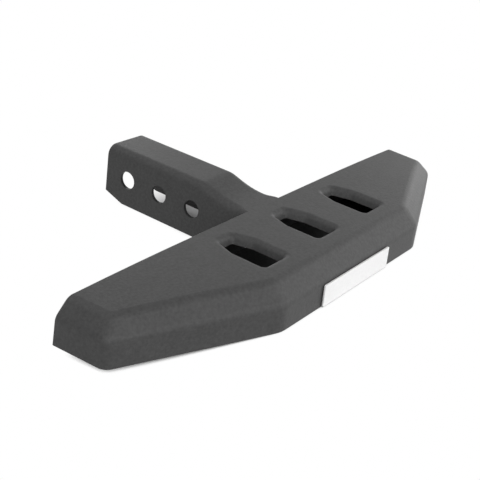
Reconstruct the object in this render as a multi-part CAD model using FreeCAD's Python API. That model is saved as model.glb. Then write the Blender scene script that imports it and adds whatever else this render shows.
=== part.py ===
import FreeCAD, Part
import math
import os

# Hitch receiver step, in millimetres, +Z up.
# The origin is on the middle plane, at the step's rear face, level with the shank's lower edges.
# The step bar reaches along X and forward to -Y, and the shank reaches back along +Y.

Vector = FreeCAD.Vector

# Pressed sheet
sheet = 3.0

# Shank: a channel, open below, that slides into a two inch receiver
shank_width = 50.8
shank_height = 50.8
shank_length = 155.6
shank_bend = 9.0
nose_run = 20.3
nose_rise = 6.9

# Hitch pin holes through both shank walls
pin_hole_diameter = 16.3
pin_hole_pitch = 37.4
pin_hole_count = 3
pin_hole_from_end = 25.2
pin_hole_height = 25.0

# Neck: the slope down from the shank's top to the deck, its side bends tightening along the foot
neck_crest = 49.6
neck_foot = 25.3
neck_crest_bend = 20.8
neck_foot_bend = 84.7
neck_tip_bend = 4.0
least_inner_bend = 0.6

# Bar outline at its lower edge, each half length from the middle
rear_half_length = 239.0
outer_half_length = 235.4
outer_depth = 45.2
front_half_length = 105.0
front_depth = 98.2

# Bar heights, from the shank's lower edges
skirt_bottom = 7.5
break_height = 29.0
deck_height = 43.5
flat_half_length = 96.5
wing_half_length = 226.0
wing_drop = 2.2

# How far each upper outline stands in from the lower edge
break_inset = 1.1
deck_inset = 14.9

# Bends of the bar
outer_corner_bend = 9.0
front_corner_bend = 25.0
deck_bend = 9.6
break_bend = 9.0
rear_edge_bend = 1.2

# Drawn slots: their outline level with the deck, and the bends at their open lower end
slot_count = 3
slot_pitch = 75.3
slot_half_width = 15.5
slot_tip_half_width = 9.2
slot_rear = 16.8
slot_shoulder = 36.0
slot_front = 66.8
slot_depth = 7.2
slot_taper = 3.2
slot_tip_bend = 1.8
slot_shoulder_bend = 8.8
slot_front_bend = 1.2
slot_lip_bend = 6.0

# Bottom plate, let into the skirt at its lower edge
bottom_thickness = 3.0
bottom_clearance = 0.3

# Bare badge plate on the front skirt, held off it by a pad
badge_length = 102.0
badge_height = 18.6
badge_thickness = 1.2
badge_corner = 1.4
badge_rise = 0.6
pad_thickness = 0.8
pad_height = 16.5
pad_margin = 0.6

# Overshoot of a cutting form past the face it cuts
clear_cut = 5.0

# Two places nearer than this are taken as the same
tolerance = 1e-4

half_width = shank_width / 2
skirt_slope = break_inset / (break_height - skirt_bottom)
chamfer_slope = (deck_inset - break_inset) / (deck_height - break_height)


def meeting_point(line_a, line_b):
    """Point where two lines in plan cross; each line is a point and a direction."""
    (point_a, way_a), (point_b, way_b) = line_a, line_b
    gap = point_b - point_a
    share = (gap.x * way_b.y - gap.y * way_b.x) / (way_a.x * way_b.y - way_a.y * way_b.x)
    return point_a + way_a * share


def inset_corners(corners, insets):
    """Corners of an outline in plan after each of its sides has moved in by its own inset."""
    count = len(corners)
    lines = []
    for index, corner in enumerate(corners):
        way = (corners[(index + 1) % count] - corner).normalize()
        lines.append((corner + Vector(-way.y, way.x, 0) * insets[index], way))
    return [meeting_point(lines[index - 1], lines[index]) for index in range(count)]


def mirrored_outline(left):
    """Outline in plan whose left corners run from the rear to the front, with their mirror images."""
    return left + [Vector(-corner.x, corner.y, 0) for corner in reversed(left)]


def rounded_wire(corners, bends, height):
    """Closed wire through the corners, each corner rounded to its bend; a zero bend stays sharp."""
    count = len(corners)
    rise = Vector(0, 0, height)
    starts = []
    middles = []
    ends = []
    for index, corner in enumerate(corners):
        back = (corners[index - 1] - corner).normalize()
        ahead = (corners[(index + 1) % count] - corner).normalize()
        half_angle = back.getAngle(ahead) / 2
        reach = bends[index] / math.tan(half_angle)
        sagitta = bends[index] / math.sin(half_angle) - bends[index]
        inward = back + ahead
        if bends[index] > 0:
            inward.normalize()
        starts.append(corner + rise + back * reach)
        middles.append(corner + rise + inward * sagitta)
        ends.append(corner + rise + ahead * reach)
    edges = []
    for index in range(count):
        if bends[index] > 0:
            edges.append(Part.Arc(starts[index], middles[index], ends[index]).toShape())
        edges.append(Part.LineSegment(ends[index], starts[(index + 1) % count]).toShape())
    return Part.Wire(edges)


def face_between_arcs(below, above):
    """Face between two like arcs: a cone where they share a centre in plan, else a slanted sweep."""
    shift = above.Curve.Center - below.Curve.Center
    if math.hypot(shift.x, shift.y) > tolerance:
        return below.extrude(shift)
    side = Part.LineSegment(below.valueAt(below.FirstParameter), above.valueAt(above.FirstParameter))
    turn = math.degrees(below.LastParameter - below.FirstParameter)
    return side.toShape().revolve(below.Curve.Center, below.Curve.Axis, turn)


def block_between(wires):
    """Solid through like wires: flat faces between their lines, and faces swept between their arcs."""
    faces = [Part.Face(wires[0]), Part.Face(wires[-1])]
    for low, high in zip(wires, wires[1:]):
        for below, above in zip(low.Edges, high.Edges):
            if isinstance(below.Curve, Part.Line):
                ring = [below.firstVertex(), below.lastVertex(), above.lastVertex(), above.firstVertex()]
                points = [vertex.Point for vertex in ring]
                faces.append(Part.Face(Part.makePolygon(points + points[:1])))
            else:
                faces.append(face_between_arcs(below, above))
    shell = Part.Shell(faces)
    shell.sewShape()
    return Part.makeSolid(shell)


def bar_wire(inset, rear_wall, height):
    """Outline of the bar at one height, its rear side moved in by the rear wall alone."""
    outline = mirrored_outline([
        Vector(-rear_half_length, 0, 0),
        Vector(-outer_half_length, -outer_depth, 0),
        Vector(-front_half_length, -front_depth, 0),
    ])
    sides = len(outline)
    bends = [0, outer_corner_bend, front_corner_bend]
    return rounded_wire(
        inset_corners(outline, [inset] * (sides - 1) + [rear_wall]), bends + bends[::-1], height)


def deck_prism(wall):
    """Block under the deck: flat in the middle, with both wings curving down."""
    top = deck_height - wall
    run = wing_half_length - flat_half_length
    radius = (run ** 2 + wing_drop ** 2) / (2 * wing_drop)
    reach = max(rear_half_length, outer_half_length) + clear_cut - flat_half_length

    def deck_point(past_flat, side):
        fall = radius - math.sqrt(radius ** 2 - past_flat ** 2)
        return Vector(side * (flat_half_length + past_flat), clear_cut, top - fall)

    def base_point(side):
        return Vector(side * (flat_half_length + reach), clear_cut, -clear_cut)

    edges = [
        Part.LineSegment(base_point(1), base_point(-1)).toShape(),
        Part.LineSegment(base_point(-1), deck_point(reach, -1)).toShape(),
        Part.Arc(deck_point(reach, -1), deck_point(reach / 2, -1), deck_point(0, -1)).toShape(),
        Part.LineSegment(deck_point(0, -1), deck_point(0, 1)).toShape(),
        Part.Arc(deck_point(0, 1), deck_point(reach / 2, 1), deck_point(reach, 1)).toShape(),
        Part.LineSegment(deck_point(reach, 1), base_point(1)).toShape(),
    ]
    depth = front_depth + 2 * clear_cut
    return Part.Face(Part.Wire(edges)).extrude(Vector(0, -depth, 0))


def edge_middle(edge):
    """Point halfway along an edge."""
    return edge.valueAt((edge.FirstParameter + edge.LastParameter) / 2)


def bar_form(wall):
    """Solid form of the bar, its faces moved inwards by the wall and its bends tightened by it."""
    skirt_shift = wall * math.hypot(1, skirt_slope)
    chamfer_shift = wall * math.hypot(1, chamfer_slope)
    break_z = break_height - (chamfer_shift - skirt_shift) / (chamfer_slope - skirt_slope)
    base_z = skirt_bottom
    if wall:
        base_z -= clear_cut
    top_z = deck_height + clear_cut
    levels = []
    for height in (base_z, break_z):
        levels.append(bar_wire(skirt_slope * (height - skirt_bottom) + skirt_shift, wall, height))
    top_inset = break_inset + chamfer_slope * (top_z - break_height) + chamfer_shift
    levels.append(bar_wire(top_inset, wall, top_z))
    form = block_between(levels).common(deck_prism(wall))
    deck_low = deck_height - wall - 2 * wing_drop
    deck_edges = []
    for edge in form.Edges:
        raised = min(vertex.Point.z for vertex in edge.Vertexes) > deck_low
        inner = edge_middle(edge).y < -wall - tolerance
        across = abs(edge.tangentAt(edge.FirstParameter).y) > 1 - tolerance
        if raised and inner and not across:
            deck_edges.append(edge)
    form = form.makeFillet(deck_bend - wall, deck_edges)
    break_edges = []
    for edge in form.Edges:
        level = all(abs(vertex.Point.z - break_z) < tolerance for vertex in edge.Vertexes)
        if level and edge_middle(edge).y < -wall - tolerance:
            break_edges.append(edge)
    form = form.makeFillet(break_bend - wall, break_edges)
    if wall:
        return form
    rear_edges = []
    for edge in form.Edges:
        raised = min(vertex.Point.z for vertex in edge.Vertexes) > deck_low
        if raised and all(abs(vertex.Point.y) < tolerance for vertex in edge.Vertexes):
            rear_edges.append(edge)
    return form.makeFillet(rear_edge_bend, rear_edges)


def shank_form(wall):
    """Solid form of the shank and its neck, all faces but the lower one moved in by the wall."""
    base = 0
    front = -sheet
    rear = shank_length
    if wall:
        base -= clear_cut
        front -= clear_cut
        rear += clear_cut
    side = half_width - wall
    top = shank_height - wall
    deck = deck_height - wall

    corners = [
        Vector(front, base, 0),
        Vector(rear, base, 0),
        Vector(rear, top, 0),
        Vector(neck_crest, top, 0),
        Vector(neck_foot, deck, 0),
        Vector(0, deck, 0),
        Vector(front, deck, 0),
    ]
    profile = rounded_wire(corners, [0, 0, 0, neck_crest_bend, neck_foot_bend, 0, 0], -side)
    profile.rotate(Vector(0, 0, 0), Vector(1, 0, 0), 90)
    profile.rotate(Vector(0, 0, 0), Vector(0, 0, 1), 90)
    form = Part.Face(profile).extrude(Vector(2 * side, 0, 0))
    foot_edges = []
    for edge in form.Edges:
        run = sorted(vertex.Point.y for vertex in edge.Vertexes)
        if abs(run[0]) < tolerance < run[-1]:
            foot_edges.append(edge)
    return form.makeFillet(shank_bend - wall, max(neck_tip_bend - wall, least_inner_bend), foot_edges)


def nose_cutter():
    """Wedge that takes off the shank's lower corner at its free end."""
    past = clear_cut / nose_rise
    side = -half_width - clear_cut
    far = shank_length + nose_run * past
    points = [
        Vector(side, shank_length - nose_run * (1 + past), -clear_cut),
        Vector(side, far, nose_rise * (1 + past)),
        Vector(side, far, -clear_cut),
    ]
    face = Part.Face(Part.makePolygon(points + points[:1]))
    return face.extrude(Vector(-2 * side, 0, 0))


def pin_hole_cutters():
    """Cylinders across the shank for the hitch pin."""
    cutters = []
    for index in range(pin_hole_count):
        place = Vector(
            -half_width - clear_cut,
            shank_length - pin_hole_from_end - pin_hole_pitch * index,
            pin_hole_height)
        cutters.append(Part.makeCylinder(
            pin_hole_diameter / 2, shank_width + 2 * clear_cut, place, Vector(1, 0, 0)))
    return cutters


def slot_block(centre, outward, heights):
    """Block with the sides of a drawn slot, moved outwards from them: tapered, then straight below it."""
    outline = mirrored_outline([
        Vector(-slot_tip_half_width, -slot_rear, 0),
        Vector(-slot_half_width, -slot_shoulder, 0),
        Vector(-slot_half_width, -slot_front, 0),
    ])
    slope = slot_taper / slot_depth
    levels = []
    for height in heights:
        inset = slope * min(deck_height - height, slot_depth) - outward * math.hypot(1, slope)
        widening = slot_taper - inset
        bends = [bend + widening for bend in (slot_tip_bend, slot_shoulder_bend, slot_front_bend)]
        corners = inset_corners(outline, [inset] * len(outline))
        levels.append(rounded_wire(corners, bends + bends[::-1], height))
    block = block_between(levels)
    block.translate(Vector(centre, 0, 0))
    return block


def slot_centres():
    """Places of the slots along the bar."""
    first = -slot_pitch * (slot_count - 1) / 2
    return [first + slot_pitch * index for index in range(slot_count)]


def slot_rims(shape):
    """Edges where the slots break through the deck."""
    rims = []
    for edge in shape.Edges:
        level = all(abs(vertex.Point.z - deck_height) < tolerance for vertex in edge.Vertexes)
        place = edge_middle(edge)
        for centre in slot_centres():
            beside = abs(place.x - centre) < slot_half_width + tolerance
            within = -slot_front - tolerance < place.y < -slot_rear + tolerance
            if level and beside and within:
                rims.append(edge)
    return rims


def step_body():
    """The pressed step: shank, neck and bar in one sheet."""
    shape = bar_form(0).fuse(shank_form(0))
    shape = shape.cut([bar_form(sheet), shank_form(sheet)])
    slot_low = deck_height - slot_depth
    drawn = (slot_low, deck_height - sheet / 2)
    opened = (slot_low - clear_cut, slot_low, deck_height + clear_cut)
    shape = shape.fuse([slot_block(centre, sheet, drawn) for centre in slot_centres()])
    shape = shape.cut([slot_block(centre, 0, opened) for centre in slot_centres()])
    shape = shape.cut(pin_hole_cutters() + [nose_cutter()])
    shape = shape.removeSplitter()
    return shape.makeFillet(slot_lip_bend, slot_rims(shape))


def bottom_plate():
    """Flat plate that closes the bar from below, its edge leaning with the skirt."""
    edge_gap = sheet + bottom_clearance
    levels = []
    for height in (skirt_bottom, skirt_bottom + bottom_thickness):
        inset = skirt_slope * (height - skirt_bottom) + edge_gap * math.hypot(1, skirt_slope)
        levels.append(bar_wire(inset, edge_gap, height))
    return block_between(levels)


def on_front_skirt(shape):
    """Shape drawn flat, X along the bar and Y up, set on the front skirt with its lower edge placed."""
    lean = math.degrees(math.atan(skirt_slope))
    shape.rotate(Vector(0, 0, 0), Vector(1, 0, 0), 90 - lean)
    lift = badge_rise / math.hypot(1, skirt_slope)
    shape.translate(Vector(0, -front_depth + skirt_slope * lift, skirt_bottom + lift))
    return shape


def rounded_plate(length, height, corner, low, thickness, off):
    """Plate with its corners bent to a radius, its lower edge at low and its back off the skirt."""
    corners = [
        Vector(-length / 2, low, 0),
        Vector(length / 2, low, 0),
        Vector(length / 2, low + height, 0),
        Vector(-length / 2, low + height, 0),
    ]
    face = Part.Face(rounded_wire(corners, [corner] * len(corners), off))
    return on_front_skirt(face.extrude(Vector(0, 0, thickness)))


def badge_pad():
    """Pad between the badge plate and the skirt."""
    length = badge_length - 2 * pad_margin
    return rounded_plate(length, pad_height, 0, pad_margin, pad_thickness, 0)


def badge_plate():
    """Bare badge plate."""
    return rounded_plate(badge_length, badge_height, badge_corner, 0, badge_thickness, pad_thickness)


os.makedirs("parts", exist_ok=True)
for build in (step_body, bottom_plate, badge_pad, badge_plate):
    solid = build()
    if solid.ShapeType == "Compound":
        solid = solid.Solids[0]
    solid.exportStep(os.path.join("parts", build.__name__ + ".step"))
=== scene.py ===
import math

import bpy
from mathutils import Matrix, Vector

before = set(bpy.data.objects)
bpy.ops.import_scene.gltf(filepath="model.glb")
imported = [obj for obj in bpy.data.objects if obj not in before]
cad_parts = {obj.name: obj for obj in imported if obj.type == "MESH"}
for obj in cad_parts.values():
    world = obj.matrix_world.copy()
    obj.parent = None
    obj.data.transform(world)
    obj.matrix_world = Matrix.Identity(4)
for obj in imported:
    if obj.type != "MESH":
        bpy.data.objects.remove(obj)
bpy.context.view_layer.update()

# Floor, in metres: it leans so that the shank's front corners and the front skirt's lower edge rest on it
floor_half = 3.0
floor_gap = 0.0002
floor_grey = 0.8
floor_roughness = 0.9
shank_front = -0.003
skirt_front = -0.0982
skirt_rise = 0.0075

# Where the floor isn't plain white: under the object, at its contact line, and in a painted shadow strip
# beside the shank, set by place to stand for the shank's cast shadow. Stops are shares of open sky. Each
# edge of the strip has its axis, its outer and its inner place.
sky_samples = 16
cover_reach = 0.07
cover_stops = (0.05, 0.25)
contact_reach = 0.006
contact_stops = (0.05, 0.6)
shadow_strip_edges = (("X", -0.012, 0.008), ("X", 0.065, 0.038), ("Y", -0.07, -0.03), ("Y", 0.172, 0.105))

# Light: the dome's level, the white that is seen, and softboxes by place, size and watts
dome_level = 0.15
seen_level = 1.0
softboxes = {
    "front": ((0.0, -1.41, 0.51), 1.6, 10.4),
    "front_right": ((1.02, -1.02, 0.39), 1.3, 6.6),
    "front_left": ((-0.81, -0.81, 0.96), 1.0, 4.0),
    "low_left": ((-1.1, -0.62, 0.3), 0.9, 3.8),
    "back_left": ((-0.4, 0.6, 1.3), 1.0, 3.0),
    "back": ((0.5, 0.75, 0.12), 0.4, 0.9),
    "right": ((1.3, 0.05, 0.15), 0.6, 2.2),
}

# Camera: where it stands, what it looks at, and how far it leans to its left
camera_place = Vector((-0.6255, -0.3895, 0.3722))
camera_target = Vector((-0.0057, 0.0138, 0.0055))
camera_lean = math.radians(-8.33)
camera_lens = 71.34
sensor_width = 36.0

# Powder coat: a fine speckle and a slow mottle, each with its share, spread over two greys
coat_greys = (0.035, 0.055)
coat_stops = (0.35, 0.65)
coat_detail = 3.0
speckle_scale = 400.0
speckle_roughness = 0.6
speckle_share = 0.75
speckle_bump = 0.35
speckle_height = 0.0004
mottle_scale = 70.0
mottle_share = 0.25
coat_roughness = 0.5
coat_specular = 0.34

# Badge plate and pad: a plain grain spread over two greys
grain_stops = (0.3, 0.7)
plate_greys = (0.92, 0.96)
plate_scale = 400.0
plate_bump = 0.05
plate_height = 0.0001
plate_roughness = 0.35
plate_metallic = 0.2
pad_greys = (0.01, 0.02)
pad_scale = 700.0
pad_roughness = 0.9


class Shader:
    """A material's nodes, made and joined by name."""

    def __init__(self, name):
        self.material = bpy.data.materials.new(name)
        self.material.use_nodes = True
        self.tree = self.material.node_tree
        self.surface = self.tree.nodes["Principled BSDF"]
        self.place = self.node("ShaderNodeTexCoord").outputs["Object"]

    def node(self, kind, **settings):
        """New node with these settings."""
        made = self.tree.nodes.new(kind)
        for key, value in settings.items():
            setattr(made, key, value)
        return made

    def link(self, source, target):
        """Joins an output to an input."""
        self.tree.links.new(source, target)

    def noise(self, scale, detail=2.0, roughness=0.5):
        """Noise in the object's own metres."""
        made = self.node("ShaderNodeTexNoise")
        made.inputs["Scale"].default_value = scale
        made.inputs["Detail"].default_value = detail
        made.inputs["Roughness"].default_value = roughness
        self.link(self.place, made.inputs["Vector"])
        return made.outputs["Fac"]

    def ramp(self, source, stops, greys=(0.0, 1.0)):
        """Ramp from one grey to another between two stops."""
        made = self.node("ShaderNodeValToRGB")
        for element, where, grey in zip(made.color_ramp.elements, stops, greys):
            element.position = where
            element.color = (grey, grey, grey, 1.0)
        self.link(source, made.inputs["Fac"])
        return made.outputs["Color"]

    def sum(self, *parts):
        """Sum of outputs, each times its weight."""
        total = None
        for source, weight in parts:
            made = self.node("ShaderNodeMath", operation="MULTIPLY_ADD")
            made.inputs[1].default_value = weight
            made.inputs[2].default_value = 0.0
            self.link(source, made.inputs[0])
            if total is not None:
                self.link(total, made.inputs[2])
            total = made.outputs[0]
        return total

    def product(self, *factors):
        """Product of outputs."""
        total = factors[0]
        for factor in factors[1:]:
            made = self.node("ShaderNodeMath", operation="MULTIPLY")
            self.link(total, made.inputs[0])
            self.link(factor, made.inputs[1])
            total = made.outputs[0]
        return total

    def colour(self, source, stops, greys):
        """Base colour from a ramp."""
        self.link(self.ramp(source, stops, greys), self.surface.inputs["Base Color"])

    def bump(self, source, strength, distance):
        """Bump from a height."""
        made = self.node("ShaderNodeBump")
        made.inputs["Strength"].default_value = strength
        made.inputs["Distance"].default_value = distance
        self.link(source, made.inputs["Height"])
        self.link(made.outputs["Normal"], self.surface.inputs["Normal"])


def powder_coat():
    """Fine textured charcoal powder coat."""
    shader = Shader("powder_coat")
    speckle = shader.noise(speckle_scale, coat_detail, speckle_roughness)
    mottle = shader.noise(mottle_scale, coat_detail)
    shader.colour(shader.sum((speckle, speckle_share), (mottle, mottle_share)), coat_stops, coat_greys)
    shader.bump(speckle, speckle_bump, speckle_height)
    shader.surface.inputs["Roughness"].default_value = coat_roughness
    shader.surface.inputs["Specular IOR Level"].default_value = coat_specular
    return shader.material


def bright_plate():
    """Bare bright plate with a faint grain."""
    shader = Shader("bright_plate")
    grain = shader.noise(plate_scale)
    shader.colour(grain, grain_stops, plate_greys)
    shader.bump(grain, plate_bump, plate_height)
    shader.surface.inputs["Roughness"].default_value = plate_roughness
    shader.surface.inputs["Metallic"].default_value = plate_metallic
    return shader.material


def matt_pad():
    """Matt black pad."""
    shader = Shader("pad")
    shader.colour(shader.noise(pad_scale), grain_stops, pad_greys)
    shader.surface.inputs["Roughness"].default_value = pad_roughness
    return shader.material


def dress(node, material):
    """Gives a CAD node its material."""
    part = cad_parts[node]
    if not part.material_slots:
        part.data.materials.append(material)
    for slot in part.material_slots:
        slot.material = material


def seen(tree):
    """One for camera, mirror and clear rays, which see the plain white; none for the rest."""
    path = tree.nodes.new("ShaderNodeLightPath")
    total = path.outputs["Is Camera Ray"]
    for name in ("Is Glossy Ray", "Is Transmission Ray"):
        either = tree.nodes.new("ShaderNodeMath")
        either.operation = "MAXIMUM"
        tree.links.new(total, either.inputs[0])
        tree.links.new(path.outputs[name], either.inputs[1])
        total = either.outputs[0]
    return total


def mixed(tree, share, low, high):
    """Mix of two shaders."""
    mix = tree.nodes.new("ShaderNodeMixShader")
    tree.links.new(share, mix.inputs[0])
    tree.links.new(low, mix.inputs[1])
    tree.links.new(high, mix.inputs[2])
    return mix.outputs[0]


def open_sky(shader, reach, stops):
    """One where the floor is open within reach, none where it is covered."""
    openness = shader.node("ShaderNodeAmbientOcclusion", samples=sky_samples)
    openness.inputs["Distance"].default_value = reach
    return shader.ramp(openness.outputs["AO"], stops)


def off_shadow_strip(shader):
    """None in the painted shadow strip beside the shank, placed to stand for its cast shadow so the floor's
    own lit grey shows there; one elsewhere.
    """
    axes = shader.node("ShaderNodeSeparateXYZ")
    shader.link(shader.place, axes.inputs[0])
    sides = []
    for axis, outside, inside in shadow_strip_edges:
        edge = shader.node("ShaderNodeMapRange", interpolation_type="SMOOTHSTEP")
        edge.inputs["From Min"].default_value = outside
        edge.inputs["From Max"].default_value = inside
        shader.link(axes.outputs[axis], edge.inputs["Value"])
        sides.append(edge.outputs["Result"])
    rest = shader.node("ShaderNodeMath", operation="SUBTRACT")
    rest.inputs[0].default_value = 1.0
    shader.link(shader.product(*sides), rest.inputs[1])
    return rest.outputs[0]


def floor_material():
    """Pale floor: plain white in the open, its own grey near and under the object and in a painted shadow
    strip beside the shank, clear from below.
    """
    shader = Shader("floor")
    tree = shader.tree
    shader.surface.inputs["Base Color"].default_value = (floor_grey, floor_grey, floor_grey, 1.0)
    shader.surface.inputs["Roughness"].default_value = floor_roughness
    shader.surface.inputs["Specular IOR Level"].default_value = 0.0
    white = shader.node("ShaderNodeEmission").outputs[0]
    clear = shader.node("ShaderNodeBsdfTransparent").outputs[0]
    below = shader.node("ShaderNodeNewGeometry").outputs["Backfacing"]
    share = shader.product(
        seen(tree),
        open_sky(shader, cover_reach, cover_stops),
        open_sky(shader, contact_reach, contact_stops),
        # painted shadow: the strip beside the shank loses its white by place, not by where light is blocked
        off_shadow_strip(shader))
    above = mixed(tree, share, shader.surface.outputs[0], white)
    shader.link(mixed(tree, below, above, clear), tree.nodes["Material Output"].inputs["Surface"])
    return shader.material


def make_floor():
    """Floor that leans with the resting object."""
    slope = skirt_rise / (skirt_front - shank_front)
    corners = []
    for x, y in ((-1, -1), (1, -1), (1, 1), (-1, 1)):
        corners.append((x * floor_half, y * floor_half, slope * (y * floor_half - shank_front) - floor_gap))
    mesh = bpy.data.meshes.new("floor")
    mesh.from_pydata(corners, [], [(0, 1, 2, 3)])
    mesh.materials.append(floor_material())
    floor = bpy.data.objects.new("floor", mesh)
    bpy.context.scene.collection.objects.link(floor)


def make_world():
    """Even dome, plain white where it is seen."""
    world = bpy.data.worlds.new("studio")
    world.use_nodes = True
    tree = world.node_tree
    dome = tree.nodes["Background"]
    white = tree.nodes.new("ShaderNodeBackground")
    for background, level in ((dome, dome_level), (white, seen_level)):
        background.inputs["Color"].default_value = (1.0, 1.0, 1.0, 1.0)
        background.inputs["Strength"].default_value = level
    tree.links.new(
        mixed(tree, seen(tree), dome.outputs[0], white.outputs[0]),
        tree.nodes["World Output"].inputs["Surface"])
    bpy.context.scene.world = world


def make_softboxes():
    """Square softboxes aimed at the middle of the object."""
    for name, (place, size, watts) in softboxes.items():
        light = bpy.data.lights.new(name, "AREA")
        light.shape = "SQUARE"
        light.size = size
        light.energy = watts
        lamp = bpy.data.objects.new(name, light)
        lamp.location = place
        lamp.rotation_euler = (-Vector(place)).to_track_quat("-Z", "Y").to_euler()
        bpy.context.scene.collection.objects.link(lamp)


def make_camera():
    """Camera at the photograph's angle."""
    ahead = (camera_target - camera_place).normalized()
    level = ahead.cross(Vector((0.0, 0.0, 1.0))).normalized()
    across = Matrix.Rotation(camera_lean, 3, ahead) @ level
    up = across.cross(ahead)
    data = bpy.data.cameras.new("camera")
    data.lens = camera_lens
    data.sensor_width = sensor_width
    camera = bpy.data.objects.new("camera", data)
    turn = Matrix((across, up, -ahead)).transposed().to_4x4()
    camera.matrix_world = Matrix.Translation(camera_place) @ turn
    bpy.context.scene.collection.objects.link(camera)
    bpy.context.scene.camera = camera


coat = powder_coat()
dress("step_body", coat)
dress("bottom_plate", coat)
dress("badge_plate", bright_plate())
dress("badge_pad", matt_pad())
make_floor()
make_world()
make_softboxes()
make_camera()
bpy.context.scene.view_settings.view_transform = "Standard"
